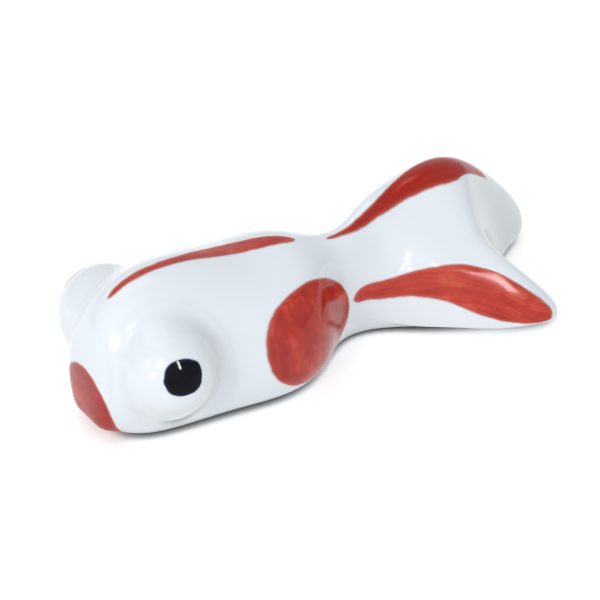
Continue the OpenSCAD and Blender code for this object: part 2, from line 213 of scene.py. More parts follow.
class EnamelSizes(bpy.types.PropertyGroup):
    """Sizes of the painted marks"""

    rise: length("Rise", 0.00003, "How far the enamel stands over the clay")
    feather: length("Feather", 0.0004, "Margin in which a mark's edge fades out")
    pupil_diameter: length("Pupil diameter", 0.0043, "Diameter of each pupil")
    pupil_forward: turn("Pupil forward", 10.5, "Turn of each pupil to the front")
    pupil_upward: turn("Pupil upward", 23, "Turn of each pupil upwards")
    mouth_width: length("Mouth width", 0.0084, "Width of the mark round the mouth")
    mouth_height: length("Mouth height", 0.0114, "Height of the mark round the mouth")
    mouth_drop: length("Mouth drop", 0.0027, "How far the mark's middle lies below the nose")
    mouth_foot: length("Mouth foot", 0.0005, "Height at which the mark is cut off below")
    dorsal_width: length("Dorsal width", 0.0027, "Width of the stripe on the back")
    spot_length: length("Spot length", 0.0175, "Length of the spot on each flank")
    spot_height: length("Spot height", 0.0135, "Height of the spot on each flank")
    stripe_width: length("Stripe width", 0.006, "Width of the stripes on the tail")


class Finishes(bpy.types.PropertyGroup):
    """Colours of the glaze and the enamels"""

    glaze: colour("Glaze", (0.795, 0.84, 0.885), "Cool white of the glazed porcelain")
    # Darker grey glaze where it ran together, also used as painted shade in the eyes' hollows and on the
    # right lobe's end face
    pooled_glaze_and_shade: colour("Pooled glaze", (0.66, 0.695, 0.68), "Glaze that ran together in hollows")
    bisque: colour("Bisque", (0.74, 0.70, 0.64), "Bare clay under the belly")
    red: colour("Red", (0.53, 0.036, 0.018), "Iron red where the brush left a full coat")
    red_thin: colour("Thin red", (0.62, 0.105, 0.055), "Iron red where the coat is thin")
    red_deep: colour("Deep red", (0.36, 0.017, 0.010), "Iron red where the brush stopped")
    black: colour("Black", (0.004, 0.005, 0.007), "Pupils")
    navy: colour("Navy", (0.012, 0.022, 0.07), "Edge of the pupils")


class StageSettings(bpy.types.PropertyGroup):
    """Camera, lights and floor"""

    camera_place: position("Camera place", (-0.19222, -0.27572, 0.25539), "Where the camera stands")
    camera_aim: position("Camera aim", (-0.00262, 0.00159, 0.00580), "Where the camera looks")
    lens: amount("Lens", 221.5, "Focal length in millimetres on a 36 mm sensor")
    spot_aim: position("Spot aim", (0.012, -0.003, 0.008), "Where the narrow spots on the tail point")
    spot_beam: turn("Spot beam", 4.5, "Width of the narrow spots' beam")
    floor_glow: amount("Floor glow", 0.42, "White added to the floor where camera, gloss and glass see it")
    contact_reach: length("Contact reach", 0.00145, "How near the fish darkens the floor beside it")
    # Painted contact shade on the floor right beside the fish
    painted_contact_shade: colour("Contact colour", (0.09, 0.09, 0.09), "Floor right beside the fish")
    floor_colour: colour("Floor colour", (0.82, 0.82, 0.82), "Plain pale floor")
    room_colour: colour("Room colour", (0.945, 0.96, 0.98), "White of the room round the fish")


def spline_weights(t):
    """The four weights of a uniform cubic spline at share t of a span."""
    return np.stack([
        (1 - t) ** 3,
        3 * t ** 3 - 6 * t ** 2 + 4,
        -3 * t ** 3 + 3 * t ** 2 + 3 * t + 1,
        t ** 3,
    ]) / 6


def unit(vectors):
    """Each row made one long."""
    return vectors / np.maximum(np.linalg.norm(vectors, axis=-1, keepdims=True), 1e-12)


def curve(guides, t):
    """The place at share t of the Bezier curve over these guides."""
    last = len(guides) - 1
    return sum(
        math.comb(last, k) * (1 - t) ** (last - k) * t ** k * guide for k, guide in enumerate(guides))


def furthest(is_inside, most):
    """The furthest values up to most at which is_inside still holds."""
    low = np.zeros_like(most)
    high = most
    for _ in range(HALVINGS):
        middle = (low + high) / 2
        inside = is_inside(middle)
        low = np.where(inside, middle, low)
        high = np.where(inside, high, middle)
    return low


def round_grid(rings, sectors):
    """Shares from the middle outwards, angles round it, and the places of both on a flat disc."""
    share = np.linspace(0, 1, rings + 1)[:, None]
    angle = np.linspace(0, 2 * math.pi, sectors + 1)[None, :]
    return share, angle, np.stack([share * np.cos(angle), share * np.sin(angle)], axis=-1)


def mirrored_column(v, side):
    """A column that is given on the left, on the asked side."""
    return v if side == LEFT else HALF_TURN + COLUMNS - v


class Skin:
    """The fish's smooth skin.

    Its places are counted in stations u from the nose and in columns v round the body."""

    # Stations and columns over which directions and sizes are measured
    STEP = 0.02
    # Points on each station and column from which the fish's box is measured
    BOX_POINTS = 4

    def __init__(self, fish):
        self.fish = fish
        stations = self.stations(fish)
        self.spans = len(stations) - 1
        first = self.row(stations[1])
        # The row before the nose balances the first one behind it, so the skin closes there in one point
        before = 2 * first.mean(axis=0) - first
        past = self.row(stations[-2])[-np.arange(COLUMNS) % COLUMNS]
        self.cage = np.array([before] + [self.row(s) for s in stations] + [past])
        self.middle = np.zeros(3)
        self.middle = self.find_middle()

    @staticmethod
    def stations(fish):
        """Place, half width, crown, widest line, belly, reach, valley and lift of every station."""
        rows = [(0.0, 0.0, fish.nose_height, fish.nose_height, fish.nose_height, 0.0, 0.0, 0.0)]
        for shares, start, whole, width, crown in (
                (TRUNK_SHARES, 0.0, fish.trunk_length, fish.trunk_width, fish.trunk_height),
                (WAIST_SHARES, 0.0, fish.trunk_length, fish.waist_width, fish.waist_height),
                (TAIL_SHARES, fish.trunk_length, fish.tail_length, fish.tail_width, fish.tail_height)):
            for along, half, top, flank, belly, *lobes in shares:
                reach, valley, lift = lobes or (0.0, 0.0, 0.0)
                rows.append((
                    start + along * whole, half * width / 2, top * crown,
                    flank * fish.flank_height, belly * fish.flank_height,
                    reach * fish.lobe_reach, valley * fish.valley_depth, lift * fish.lobe_lift))
        rows.append((
            fish.trunk_length + fish.tail_length, RIM_WIDTH_SHARE * fish.tail_width / 2,
            fish.rim_height, fish.rim_height, fish.rim_height, fish.lobe_reach, 0.0, 0.0))
        return rows

    @staticmethod
    def row(station):
        """The cage's points round one station."""
        along, half, crown, flank, belly, reach, valley, lift = station
        # The cage stands this much outside the skin that it makes
        gain = 6 / (4 + 2 * math.cos(2 * math.pi / COLUMNS))
        points = []
        for j in range(COLUMNS):
            angle = 2 * math.pi * j / COLUMNS
            # Rounded, so that both flanks count as level
            up = round(math.sin(angle), 9)
            k = min(j, COLUMNS - j)
            lifted = flank + (lift * LIFT_SHARES[j] if j <= HALF_TURN else 0.0)
            if up > 0:
                height = lifted + (crown - flank) * gain * up - valley * VALLEY_SHARES[k]
            else:
                height = lifted - (flank - belly) * min(1.0, -BELLY_FLAT_SHARE * up)
            points.append((along + reach * REACH_SHARES[k], half * gain * math.cos(angle), height))
        return np.array(points)

    def find_middle(self):
        """The middle of the box round body and eyes, over which the fish is centred."""
        u, v = np.meshgrid(
            np.linspace(0, self.spans, self.spans * self.BOX_POINTS + 1),
            np.arange(0, COLUMNS, 1 / self.BOX_POINTS))
        skin = self.at(u.ravel(), v.ravel())
        eye = (self.fish.eye_spacing + self.fish.eye_diameter) / 2
        low = skin.min(axis=0)
        high = skin.max(axis=0)
        return np.array([(low[0] + high[0]) / 2, (min(low[1], -eye) + max(high[1], eye)) / 2, 0.0])

    def at(self, u, v):
        """Places on the skin."""
        u, v = np.broadcast_arrays(np.asarray(u, float), np.asarray(v, float))
        i = np.clip(np.floor(u).astype(int), 0, self.spans - 1)
        j = np.floor(v).astype(int)
        along = spline_weights(u - i)
        round_body = spline_weights(v - j)
        p = sum(
            (along[a] * round_body[b])[..., None] * self.cage[i + a, (j + b - 1) % COLUMNS]
            for a in range(4) for b in range(4))
        past = np.maximum(p[..., 0] - self.fish.trunk_length, 0.0)
        angle = past / self.fish.bend_radius
        radius = self.fish.bend_radius + p[..., 1]
        x = np.where(past > 0, self.fish.trunk_length + radius * np.sin(angle), p[..., 0])
        y = np.where(past > 0, radius * np.cos(angle) - self.fish.bend_radius, p[..., 1])
        return np.stack([x, y, p[..., 2]], axis=-1) - self.middle

    def out(self, u, v):
        """Outward directions of the skin."""
        u, v = np.broadcast_arrays(np.asarray(u, float), np.asarray(v, float))
        round_body = self.at(u, v + self.STEP) - self.at(u, v - self.STEP)
        ahead = self.at(np.minimum(u + self.STEP, self.spans), v)
        along = ahead - self.at(np.maximum(u - self.STEP, 0), v)
        normal = unit(np.cross(round_body, along))
        normal[u < self.STEP] = (-1.0, 0.0, 0.0)
        return normal

    def over(self, u, v, rise):
        """Places at a height over the skin."""
        return self.at(u, v) + np.asarray(rise)[..., None] * self.out(u, v)

    def size(self, u, v, stations, columns):
        """How many metres this many stations and columns measure."""
        du = self.STEP * stations
        dv = self.STEP * columns
        apart = self.at(u + du, v + dv) - self.at(u - du, v - dv)
        return np.linalg.norm(apart, axis=-1) / (2 * self.STEP)


def smooth_table(shares, t):
    """A table of shares read smoothly at t, from 0 at its first entry to 1 at its last."""
    table = np.asarray(shares)
    last = len(table) - 1
    x = np.clip(t, 0, 1) * last
    i = np.minimum(np.floor(x).astype(int), last - 1)
    f = x - i
    a, b, c, d = table[np.maximum(i - 1, 0)], table[i], table[i + 1], table[np.minimum(i + 2, last)]
    return b + f * ((c - a) / 2 + f * ((2 * a - 5 * b + 4 * c - d) / 2 + f * (3 * b - a - 3 * c + d) / 2))


def rolled(name, places, pattern=None, inset=None, hollow=None):
    """A piece from a flat grid whose corners are moved to places[row][column] and welded where they meet.

    pattern gives each corner its place in the UV map, inset its distance in millimetres from a mark's edge,
    and hollow how much the glaze darkens there, as pooled glaze and as painted shade."""
    rows, columns = places.shape[:2]
    flat = bmesh.new()
    bmesh.ops.create_grid(flat, x_segments=columns - 1, y_segments=rows - 1, size=0.5)
    uv_map = flat.loops.layers.uv.new("UVMap")
    inset_layer = flat.verts.layers.float.new("inset")
    hollow_layer = flat.verts.layers.float.new("hollow")
    for corner in flat.verts:
        row = round((corner.co.y + 0.5) * (rows - 1))
        column = round((corner.co.x + 0.5) * (columns - 1))
        corner.index = row * columns + column
        corner[inset_layer] = 0.0 if inset is None else float(inset[row][column])
        corner[hollow_layer] = 0.0 if hollow is None else float(hollow[row][column])
    for face in flat.faces:
        face.smooth = True
        for loop in face.loops:
            row, column = divmod(loop.vert.index, columns)
            if pattern is None:
                loop[uv_map].uv = (column / (columns - 1), row / (rows - 1))
            else:
                loop[uv_map].uv = pattern[row][column]
    for corner in flat.verts:
        row, column = divmod(corner.index, columns)
        corner.co = places[row][column]
    bmesh.ops.remove_doubles(flat, verts=flat.verts, dist=WELD_DISTANCE)
    bmesh.ops.recalc_face_normals(flat, faces=flat.faces)
    return finished(name, flat)


def finished(name, shape):
    """The object that holds a finished bmesh."""
    mesh = bpy.data.meshes.new(name)
    shape.to_mesh(mesh)
    shape.free()
    piece = bpy.data.objects.new(name, mesh)
    bpy.context.scene.collection.objects.link(piece)
    return piece


def dress(piece, material, slot, *nodes):
    """Gives a piece its finish and its place in the frame."""
    piece.data.materials.append(material)
    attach(piece, "root")
    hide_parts(*nodes)


def dress_mark(sheet, enamel, material, slot, node):
    """Closes a painted sheet by an underside that lies inside the clay, and dresses it."""
    shell = sheet.modifiers.new("Underside", "SOLIDIFY")
    shell.thickness = 2 * enamel.rise
    shell.offset = -1.0
    shell.use_even_offset = False
    dress(sheet, material, slot, node)


def dress_red(sheet, enamel, brush, node):
    """Dresses a painted sheet in the iron red of one brush, made when it is first asked for."""
    made = bpy.data.materials.get(f"red_enamel_{brush}")
    material = made or red_enamel(bpy.context.scene.goldfish_finishes, brush)
    dress_mark(sheet, enamel, material, "red_enamel", node)


class Value:
    """A socket whose sums add Math nodes."""

    def __init__(self, paint, socket):
        self.paint = paint
        self.socket = socket

    def math(self, operation, *values):
        return self.paint.add("ShaderNodeMath", {"operation": operation}, dict(enumerate(values)), 0)

    def __add__(self, other):
        return self.math("ADD", self, other)

    __radd__ = __add__

    def __sub__(self, other):
        return self.math("SUBTRACT", self, other)

    def __rsub__(self, other):
        return self.math("SUBTRACT", other, self)

    def __mul__(self, other):
        return self.math("MULTIPLY", self, other)

    __rmul__ = __mul__

    def __pow__(self, other):
        return self.math("POWER", self, other)

    def __rpow__(self, other):
        return self.math("POWER", other, self)


class Paint:
    """The nodes of a material or a world while they are being made."""

    def __init__(self, owner):
        self.owner = owner
        owner.use_nodes = True
        self.tree = owner.node_tree
        self.tree.nodes.clear()

    def add(self, kind, settings, inputs, output):
        """Adds a node, sets it and its sockets, and gives one of its outputs."""
        node = self.tree.nodes.new(kind)
        for key, value in settings.items():
            setattr(node, key, value)
        for key, value in inputs.items():
            if isinstance(value, Value):
                self.tree.links.new(value.socket, node.inputs[key])
            else:
                node.inputs[key].default_value = value
        return Value(self, node.outputs[output])

    def ramp(self, value, low, high, to_low=0.0, to_high=1.0):
        """A smooth step from to_low at low to to_high at high."""
        return self.add(
            "ShaderNodeMapRange", {"interpolation_type": "SMOOTHSTEP"},
            {0: value, 1: low, 2: high, 3: to_low, 4: to_high}, 0)

    def mix(self, share, first, second):
        """Two colours mixed by a share."""
        return self.add(
            "ShaderNodeMix", {"data_type": "RGBA", "clamp_factor": True},
            {0: share, 6: self.full(first), 7: self.full(second)}, 2)

    @staticmethod
    def full(value):
        """A colour with its alpha, or a socket as it is."""
        return value if isinstance(value, Value) else (*value, 1.0)

    def object_place(self):
        return self.add("ShaderNodeTexCoord", {}, {}, "Object")

    def attribute(self, name):
        return self.add("ShaderNodeAttribute", {"attribute_name": name}, {}, "Fac")

    def pattern_place(self, along, across):
        """The place in a mark's pattern, scaled along the mark and across it."""
        place = self.add("ShaderNodeUVMap", {"uv_map": "UVMap"}, {}, "UV")
        return self.add("ShaderNodeMapping", {}, {"Vector": place, "Scale": (along, across, 1.0)}, "Vector")

    def noise(self, vector, scale, detail, roughness, distortion=0.0):
        """Noise round a half, with so many waves to one unit of the vector."""
        return self.add(
            "ShaderNodeTexNoise", {"noise_dimensions": "3D"},
            {"Vector": vector, "Scale": scale, "Detail": detail, "Roughness": roughness,
             "Distortion": distortion}, "Fac")

    def bump(self, height, distance, under=None):
        """A relief of so many metres on the surface, or on the relief under it."""
        inputs = {"Height": height, "Distance": distance, "Strength": 1.0}
        if under is not None:
            inputs["Normal"] = under
        return self.add("ShaderNodeBump", {}, inputs, "Normal")

    def finish(self, sockets):
        """Joins a Principled shader with these sockets to the output."""
        return self.show(self.add("ShaderNodeBsdfPrincipled", {}, sockets, 0))

    def show(self, shader, output="ShaderNodeOutputMaterial"):
        """Joins a shader to the output."""
        node = self.tree.nodes.new(output)
        self.tree.links.new(shader.socket, node.inputs["Surface"])
        return self.owner


def glaze_ripple(paint, place):
    """Soft waves left by the dipped glaze, with a fine skin on them."""
    waves = paint.noise(place, 170.0, 1.0, 0.4)
    fine = paint.noise(place, 1500.0, 2.0, 0.5)
    return paint.bump(fine, GRAIN_HEIGHT, paint.bump(waves, WAVE_HEIGHT))


def ragged_inset(paint, place, scale, width):
    """Millimetres from a mark's edge, as if the edge wandered within a strip so many millimetres wide."""
    return paint.attribute("inset") + paint.noise(place, scale, 2.0, 0.5) * width - width / 2


def glazed_porcelain(colours):
    """Clear glaze over cool white porcelain, greyer where it pooled and where shade is painted, bare on the
    foot.
    """
    paint = Paint(bpy.data.materials.new("glazed_porcelain"))
    place = paint.object_place()
    cloud = paint.noise(place, 130.0, 2.0, 0.5)
    # The hollow attribute paints shade and pooled glaze, and the cloud adds random tone, toward the darker
    # pooled colour
    pooled_and_shaded = paint.ramp(paint.attribute("hollow") * 0.5 + cloud * 0.3 - 0.06, 0.0, 1.0)
    height = paint.add("ShaderNodeSeparateXYZ", {}, {0: place}, "Z")
    ragged = paint.noise(place, 900.0, 2.0, 0.6)
    bare = paint.ramp(height + ragged * FOOT_WANDER, FOOT_GLAZED, FOOT_BARE)
    white = paint.mix(pooled_and_shaded, colours.glaze, colours.pooled_glaze_and_shade)
    return paint.finish({
        "Base Color": paint.mix(bare, white, colours.bisque),
        "Roughness": paint.ramp(bare, 0.0, 1.0, 0.0, 0.65) + paint.ramp(cloud, 0.3, 0.7, 0.06, 0.12),
        "IOR": 1.5,
        "Subsurface Weight": 0.12,
        "Subsurface Radius": (0.9, 0.85, 0.8),
        "Subsurface Scale": 0.0012,
        "Normal": glaze_ripple(paint, place),
    })


def red_enamel(colours, brush):
    """Brushed iron red under a glossy coat, streaked along the brush and thin at its edges."""
    streaks, depth = BRUSHES[brush]
    paint = Paint(bpy.data.materials.new(f"red_enamel_{brush}"))
    place = paint.object_place()
    edge = ragged_inset(paint, place, 700.0, 0.28)
    strokes = paint.noise(paint.pattern_place(*streaks), 1.0, 3.0, 0.55, 0.25)
    mottle = paint.noise(place, 420.0, 3.0, 0.6)
    tone = paint.ramp(strokes * 0.6 + mottle * 0.4 - depth, 0.36, 0.64)
    full = paint.mix(tone, colours.red_deep, colours.red)
    thin = paint.ramp(strokes * 0.5 + mottle * 0.5 - depth * 0.5, 0.54, 0.68, 0.0, 0.55)
    body = paint.mix(thin, full, colours.red_thin)
    rim = paint.ramp(edge, 0.25, 0.95, 0.75, 0.0)
    return paint.finish({
        "Base Color": paint.mix(rim, body, colours.red_thin),
        "Roughness": paint.ramp(tone, 0.0, 1.0, 0.08, 0.16),
        "Alpha": paint.ramp(edge, 0.18, 0.66),
        "IOR": 1.5,
        "Specular IOR Level": 0.35,
        "Normal": glaze_ripple(paint, place),
    })


def black_enamel(colours):
    """Glossy black that shows navy where its edge is thin."""
    paint = Paint(bpy.data.materials.new("black_enamel"))
    place = paint.object_place()
    edge = ragged_inset(paint, place, 900.0, 0.16)
    navy = paint.ramp(edge, 0.3, 0.75, 1.0, 0.0)
    return paint.finish({
        "Base Color": paint.mix(navy, colours.black, colours.navy),
        "Roughness": paint.ramp(paint.noise(place, 1200.0, 2.0, 0.5), 0.0, 1.0, 0.05, 0.11),
        "Alpha": paint.ramp(edge, 0.22, 0.44),
        "IOR": 1.5,
        "Specular IOR Level": 0.09,
        "Normal": glaze_ripple(paint, place),
    })


def porcelain():
    """The one glazed porcelain, made when it is first asked for."""
    made = bpy.data.materials.get("glazed_porcelain")
    return made or glazed_porcelain(bpy.context.scene.goldfish_finishes)


class GOLDFISH_OT_body(bpy.types.Operator):
    """Makes the glazed body"""

    bl_idname = "goldfish.body"
    bl_label = "Body"

    # Faces along one station and round one column
    STATION_FACES = 18
    COLUMN_FACES = 11
    # The right lobe's steep end face, as shares of all stations and columns, and how much painted shade
    # darkens it at its crease and at the rim
    CREASE_SHARE = 0.83
    FADE_SHARE = 0.06
    MIDDLE_SHARE = 0.22
    HALF_WIDTH_SHARE = 0.19
    POOL_AND_SHADE_SHARES = (0.7, 1.2)

    def execute(self, context):
        skin = Skin(context.scene.goldfish_sizes)
        u, v = np.meshgrid(
            np.linspace(0, skin.spans, skin.spans * self.STATION_FACES + 1),
            np.linspace(0, COLUMNS, COLUMNS * self.COLUMN_FACES + 1), indexing="ij")
        body = rolled("glazed_body", skin.at(u, v), hollow=self.hollow(skin, u, v))
        dress(body, porcelain(), "porcelain", "body")
        return {"FINISHED"}

    @classmethod
    def hollow(cls, skin, u, v):
        """How much painted shade darkens the end face of the right lobe, most of all at the rim."""
        past_crease = u / skin.spans - cls.CREASE_SHARE
        along = np.clip(past_crease / cls.FADE_SHARE, 0, 1)
        across = np.clip(1 - np.abs(v / COLUMNS - cls.MIDDLE_SHARE) / cls.HALF_WIDTH_SHARE, 0, 1)
        to_rim = np.clip(past_crease / (1 - cls.CREASE_SHARE), 0, 1)
        at_crease, at_rim = cls.POOL_AND_SHADE_SHARES
        return along * np.sin(across * math.pi / 2) * (at_crease + (at_rim - at_crease) * to_rim)


class Eye:
    """One eyeball on the skin, with the soft hollow round it."""

    # Seat of the left eye and reach of the search for its edge, as shares of all stations and columns
    STATION_SHARE = 0.225
    STATION_REACH_SHARE = 0.15
    COLUMN_SHARE = 0.445
    COLUMN_REACH_SHARE = 0.13
    SECTORS = 144
    # Rings of faces on the ball, and again in the hollow
    RINGS = 24
    # Reach of the hollow on the ball and on the head, and how much pooled glaze and painted shade lie in
    # it, at
    # equal angles round the eye: from the tail's side under the eye to the nose's side, and back over the
    # top
    BALL_SHARES = (0.7, 1.5, 1.6, 1.4, 1.2, 1.1, 0.9, 0.55, 0.7)
    HEAD_SHARES = (0.75, 1.2, 1.4, 1.1, 0.55, 0.55, 0.9, 0.7, 0.75)
    POOL_AND_SHADE_SHARES = (1.25, 1.2, 1.3, 0.9, 0.2, 0.1, 0.5, 0.95, 1.25)
    # Share of the pooled glaze and painted shade that lies on the ball's side of the hollow
    BALL_POOL_AND_SHADE_SHARE = 0.65
    # How far the hollow runs straight on at its two ends
    PULL_SHARE = 0.2
    # Metres over the skin at which the hollow ends
    LANDING_RISE = 0.000003
    # How it sinks under the skin then: metres past its end and metres of depth
    SKIRT = ((0.0003, 0.0000015), (0.0006, 0.000006), (0.0009, 0.00002))
    # How far behind its middle the eye closes, as a share of its radius
    CLOSING_SHARE = 0.2
    # Share of the search over which directions and sizes are measured
    STEP = 0.01

    def __init__(self, skin, side):
        fish = skin.fish
        self.skin = skin
        self.side = side
        self.radius = fish.eye_diameter / 2
        aside = side * fish.eye_spacing / 2
        self.middle = np.array([fish.eye_setback, aside, fish.eye_height]) - skin.middle
        self.angles = np.linspace(0, 2 * math.pi, self.SECTORS + 1)
        self.edge = self.find_edge()
        self.pole = self.skin.out(*self.seat(np.zeros(1), np.zeros(1)))[0]

    def seat(self, t, angle):
        """Station and column at share t of the search from the eye's middle."""
        u = self.skin.spans * (self.STATION_SHARE + t * self.STATION_REACH_SHARE * np.cos(angle))
        v = COLUMNS * (self.COLUMN_SHARE + t * self.COLUMN_REACH_SHARE * np.sin(angle))
        return u, mirrored_column(v, self.side)

    def head(self, t):
        """Places on the skin at share t of the search, for each angle."""
        return self.skin.at(*self.seat(t, self.angles))

    def find_edge(self):
        """Share of the search at which the ball meets the skin, for each angle."""
        def in_ball(t):
            return np.linalg.norm(self.head(t) - self.middle, axis=-1) < self.radius

        return furthest(in_ball, np.ones_like(self.angles))

    def surface(self, fillet):
        """Rows of places from the outer pole over ball and hollow to the skin, then back inside."""
        skin, angles = self.skin, self.angles
        meet = self.head(self.edge)
        toward = unit(meet - self.middle)
        slope = unit(toward - (toward @ self.pole)[:, None] * self.pole)
        round_eye = angles / (2 * math.pi)
        # Pooled glaze and painted shade round the eye, heaviest behind and below it where shade falls
        pool_and_shade = smooth_table(self.POOL_AND_SHADE_SHARES, round_eye)
        ball_reach = fillet * smooth_table(self.BALL_SHARES, round_eye)
        span = np.arccos(np.clip(toward @ self.pole, -1, 1)) - ball_reach / self.radius
        # How many metres the whole search measures, and the direction in which it crosses the skin
        size = np.linalg.norm(self.head(self.edge + self.STEP) - meet, axis=-1) / self.STEP
        foot = self.edge + fillet * smooth_table(self.HEAD_SHARES, round_eye) / size
        run = unit(self.head(foot + self.STEP) - self.head(foot))
        landing = skin.over(*self.seat(foot, angles), self.LANDING_RISE)
        rows = []
        hollow = []
        for share in np.linspace(0, 1, self.RINGS + 1):
            a = (share * span)[:, None]
            rows.append(self.middle + self.radius * (np.cos(a) * self.pole + np.sin(a) * slope))
            hollow.append(pool_and_shade * share ** 2 * self.BALL_POOL_AND_SHADE_SHARE)
        start = rows[-1]
        a = span[:, None]
        down = -np.sin(a) * self.pole + np.cos(a) * slope
        pull = self.PULL_SHARE * np.linalg.norm(landing - start, axis=-1)[:, None]
        guides = (
            start, start + down * pull, start + 2 * down * pull,
            landing - 2 * run * pull, landing - run * pull, landing)
        for share in np.linspace(0, 1, self.RINGS + 1)[1:]:
            rows.append(curve(guides, share))
            bulge = (1 - self.BALL_POOL_AND_SHADE_SHARE) * math.sin(math.pi * share) ** 2
            hollow.append(pool_and_shade * (self.BALL_POOL_AND_SHADE_SHARE * (1 - share) + bulge))
        for beyond, depth in self.SKIRT:
            rows.append(skin.over(*self.seat(foot + beyond / size, angles), -depth))
            hollow.append(np.zeros(len(angles)))
        closing = self.middle - self.pole * self.radius * self.CLOSING_SHARE
        rows.append(np.broadcast_to(closing, rows[-1].shape))
        hollow.append(np.zeros(len(angles)))
        return np.array(rows), np.array(hollow)


class GOLDFISH_OT_eyes(bpy.types.Operator):
    """Makes the two eyeballs, each drawn softly into the head"""

    bl_idname = "goldfish.eyes"
    bl_label = "Eyes"

    def execute(self, context):
        sizes = context.scene.goldfish_sizes
        skin = Skin(sizes)
        for side, word in SIDES:
            places, hollow = Eye(skin, side).surface(sizes.eye_fillet)
            eye = rolled(f"glazed_{word}_eye", places, hollow=hollow)
            dress(eye, porcelain(), "porcelain", f"{word}_eye")
        return {"FINISHED"}


def sunk(inset, rise):
    """Height of a painted sheet over the clay: rise inside, and just under the surface at its edge."""
    share = np.clip(inset / EDGE_SLOPE, 0, 1)
    return -rise * SUNK_SHARE + share * share * (3 - 2 * share) * rise * (1 + SUNK_SHARE)


class GOLDFISH_OT_pupils(bpy.types.Operator):
    """Paints the two pupils"""

    bl_idname = "goldfish.pupils"
    bl_label = "Pupils"

    # Radius of the dabbed dot at equal angles, as shares, from the nose's side over the top
    OUTLINE_SHARES = (
        1.04, 1.01, 1.03, 1.03, 1.01, 0.95, 0.93, 0.94, 0.97, 1.02, 1.08, 1.04, 1.0,
        0.99, 1.04, 1.04, 1.0, 0.95, 0.94, 0.94, 0.97, 1.02, 1.03, 1.02, 1.04)
    RINGS = 16
    SECTORS = 64

    def execute(self, context):
        skin = Skin(context.scene.goldfish_sizes)
        enamel = context.scene.goldfish_enamels
        material = black_enamel(context.scene.goldfish_finishes)
        share, angle, pattern = round_grid(self.RINGS, self.SECTORS)
        outline = smooth_table(self.OUTLINE_SHARES, angle / (2 * math.pi))
        radius = enamel.pupil_diameter / 2 * outline + enamel.feather
        inset = (1 - share) * radius / MM
        flat = math.cos(enamel.pupil_upward)
        for side, word in SIDES:
            eye = Eye(skin, side)
            axis = np.array([
                -math.sin(enamel.pupil_forward) * flat, side * math.cos(enamel.pupil_forward) * flat,
                math.sin(enamel.pupil_upward)])
            ahead = unit(np.cross(axis, [0.0, 0.0, 1.0]))
            above = np.cross(ahead, axis)
            reach = share * radius / eye.radius
            toward = np.cos(angle)[..., None] * ahead + np.sin(angle)[..., None] * above
            height = eye.radius + sunk(inset, enamel.rise)
            places = eye.middle + height[..., None] * (
                np.cos(reach)[..., None] * axis + np.sin(reach)[..., None] * toward)
            pupil = rolled(f"painted_{word}_pupil", places, pattern, inset)
            dress_mark(pupil, enamel, material, "black_enamel", f"{word}_pupil")
        return {"FINISHED"}


class GOLDFISH_OT_mouth(bpy.types.Operator):
    """Paints the mark round the mouth"""

    bl_idname = "goldfish.mouth"
    bl_label = "Mouth mark"

    RINGS = 20
    SECTORS = 96
    # Stations from the nose within which the mark ends
    STATIONS = 3.0

    def execute(self, context):
        skin = Skin(context.scene.goldfish_sizes)
        enamel = context.scene.goldfish_enamels
        share, _, pattern = round_grid(self.RINGS, self.SECTORS)
        column = np.linspace(0, COLUMNS, self.SECTORS + 1)
        edge = self.edge(skin, enamel, column)
        around = np.linalg.norm(skin.at(edge, column) - skin.at(0.0, 0.0), axis=-1)
        inset = (1 - share) * around / MM
        places = skin.over(share * edge, column, sunk(inset, enamel.rise))
        mark = rolled("painted_mouth", places, pattern, inset)
        dress_red(mark, enamel, "mouth", "mouth_patch")
        return {"FINISHED"}

    @classmethod
    def edge(cls, skin, enamel, column):
        """Station of the mark's edge in each column.

        Seen from the front the mark is an upright oval that is cut off at the foot."""
        half_width = enamel.mouth_width / 2 + enamel.feather
        half_height = enamel.mouth_height / 2 + enamel.feather
        middle_height = skin.fish.nose_height - enamel.mouth_drop

        def in_mark(u):
            p = skin.at(u, column) + skin.middle
            across = p[:, 1] / half_width
            upward = (p[:, 2] - middle_height) / half_height
            return (across ** 2 + upward ** 2 < 1) & (p[:, 2] > enamel.mouth_foot)

        return furthest(in_mark, np.full_like(column, cls.STATIONS))


class GOLDFISH_OT_flank_spots(bpy.types.Operator):
    """Paints the oval spot on each flank"""

    bl_idname = "goldfish.flank_spots"
    bl_label = "Flank spots"

    # Where the spot sits on the left, as shares of all stations and columns, and how it leans
    STATION_SHARE = 0.46
    COLUMN_SHARE = 0.468
    LEAN = math.radians(-8)
    RINGS = 32
    SECTORS = 96

    def execute(self, context):
        skin = Skin(context.scene.goldfish_sizes)
        enamel = context.scene.goldfish_enamels
        share, angle, pattern = round_grid(self.RINGS, self.SECTORS)
        middle_u = skin.spans * self.STATION_SHARE
        middle_v = COLUMNS * self.COLUMN_SHARE
        half_u = (enamel.spot_length / 2 + enamel.feather) / skin.size(middle_u, middle_v, 1, 0)
        half_v = (enamel.spot_height / 2 + enamel.feather) / skin.size(middle_u, middle_v, 0, 1)
        u = middle_u + share * half_u * np.cos(angle + self.LEAN)
        v = middle_v + share * half_v * np.sin(angle)
        radius = (enamel.spot_length + enamel.spot_height) / 4
        inset = (1 - share) * radius / MM * np.ones_like(angle)
        for side, word in SIDES:
            places = skin.over(u, mirrored_column(v, side), sunk(inset, enamel.rise))
            spot = rolled(f"painted_{word}_flank_spot", places, pattern, inset)
            dress_red(spot, enamel, "spot", f"{word}_flank_spot")
        return {"FINISHED"}


